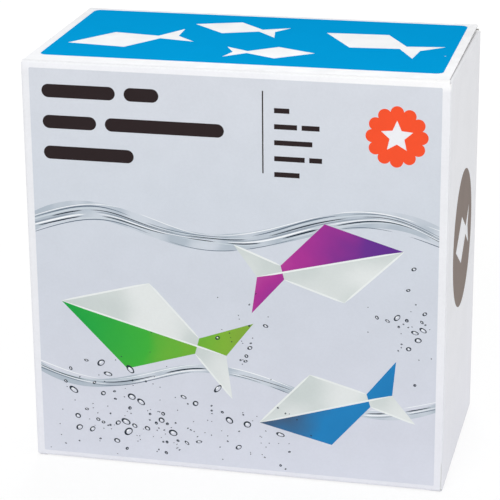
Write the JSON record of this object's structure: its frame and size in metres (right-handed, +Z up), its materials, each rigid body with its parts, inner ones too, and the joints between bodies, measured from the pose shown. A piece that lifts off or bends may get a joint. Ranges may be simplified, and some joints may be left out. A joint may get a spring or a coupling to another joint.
{
  "type": "toy carton",
  "caption": "Closed folding carton of printed white board with a hinged tuck-in lid, dust flaps inside and a glued interlocking bottom; the lid opens.",
  "frame": {"origin": "middle of the bottom, on the surface that the carton stands on", "axes": "+X to the right across the printed front, +Y from the front to the back, +Z up; the lid turns on the top front edge"},
  "size_m": [0.1701, 0.0901, 0.1715],
  "materials": {
    "board": "white coated paperboard, satin",
    "ink_pale_grey": "pale blue-grey print, satin",
    "ink_dark": "dark brown print, satin",
    "ink_orange": "orange-red print, satin",
    "ink_mid_grey": "grey print, satin",
    "ink_off_white": "off-white print, satin",
    "ink_blue": "blue print, satin",
    "ink_green": "green print, satin",
    "ink_violet": "violet print, satin",
    "ink_cyan": "bright blue print, satin",
    "ink_brown_grey": "brown-grey print, satin"
  },
  "bodies": {
    "carton": {"carton": "board", "print_front": "ink_pale_grey", "print_title": "ink_dark", "print_seal": "ink_orange", "print_ripples": "ink_mid_grey", "print_pale": "ink_off_white", "print_blue": "ink_blue", "print_green": "ink_green", "print_violet": "ink_violet", "print_disc": "ink_brown_grey"},
    "lid": {"lid": "board", "print_lid": "ink_cyan"}
  },
  "joints": [
    {"name": "lid_hinge", "type": "hinge", "parent": "carton", "child": "lid", "pos_m": [0, -0.045, 0.17], "axis": [1, 0, 0], "range_deg": [0, 265]}
  ]
}
